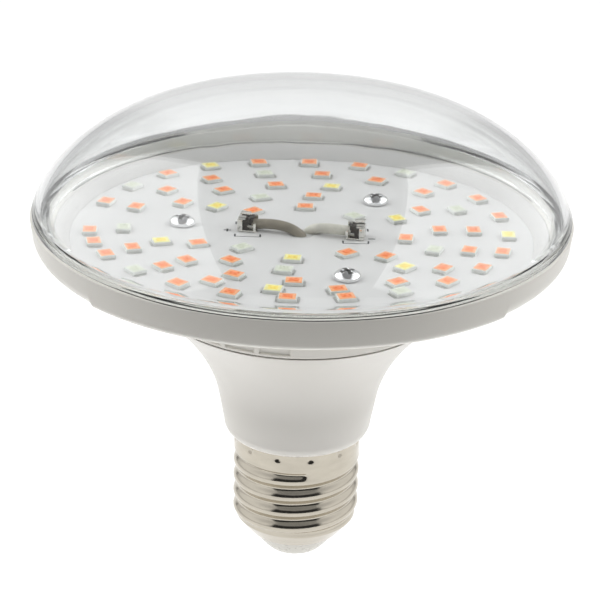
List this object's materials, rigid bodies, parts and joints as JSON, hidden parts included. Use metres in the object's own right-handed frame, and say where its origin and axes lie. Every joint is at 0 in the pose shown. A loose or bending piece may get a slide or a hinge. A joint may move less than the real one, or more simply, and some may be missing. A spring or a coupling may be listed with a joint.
{
  "type": "led plant lamp",
  "caption": "Mushroom-shaped plant lamp: low clear dome over a round board of light chips, white disc housing, flared neck and a screw cap.",
  "frame": {"origin": "middle of the flat bottom of the centre contact, on the lamp's axis", "axes": "+Z along the lamp's axis from the cap to the clear dome; -Y is the side that the picture shows"},
  "size_m": [0.1076, 0.1076, 0.0979],
  "materials": {
    "clear_plastic": "clear gloss",
    "white_plastic": "satin white",
    "dish_aluminium": "satin",
    "board_white": "white board",
    "screw_steel": "plated",
    "terminal_metal": "tinned",
    "lead_left": "dark insulation",
    "lead_right": "light insulation",
    "cap_nickel": "nickel plate",
    "insulator_glass": "pale opal",
    "contact_tin": "tinned",
    "driver_laminate": "laminate",
    "capacitor_sleeve": "black sleeve",
    "ferrite": "ferrite",
    "copper_winding": "enamelled wire",
    "film_box": "moulded box",
    "moulded_black": "moulded package",
    "supply_insulation": "insulation"
  },
  "bodies": {
    "root": {"clear_cover": "clear_plastic", "lamp_housing": "white_plastic", "neck_housing": "white_plastic", "heat_sink_dish": "dish_aluminium", "led_board": "board_white", "board_screw_1": "screw_steel", "board_screw_2": "screw_steel", "board_screw_3": "screw_steel", "wire_terminal_left": "terminal_metal", "wire_terminal_right": "terminal_metal", "lead_wire_left": "lead_left", "lead_wire_right": "lead_right", "cap_shell": "cap_nickel", "cap_insulator": "insulator_glass", "centre_contact": "contact_tin", "driver_board": "driver_laminate", "smoothing_capacitor": "capacitor_sleeve", "choke_core": "ferrite", "choke_winding": "copper_winding", "film_capacitor": "film_box", "bridge_rectifier": "moulded_black", "driver_chip": "moulded_black", "live_wire": "supply_insulation", "neutral_wire": "supply_insulation"}
  },
  "joints": []
}
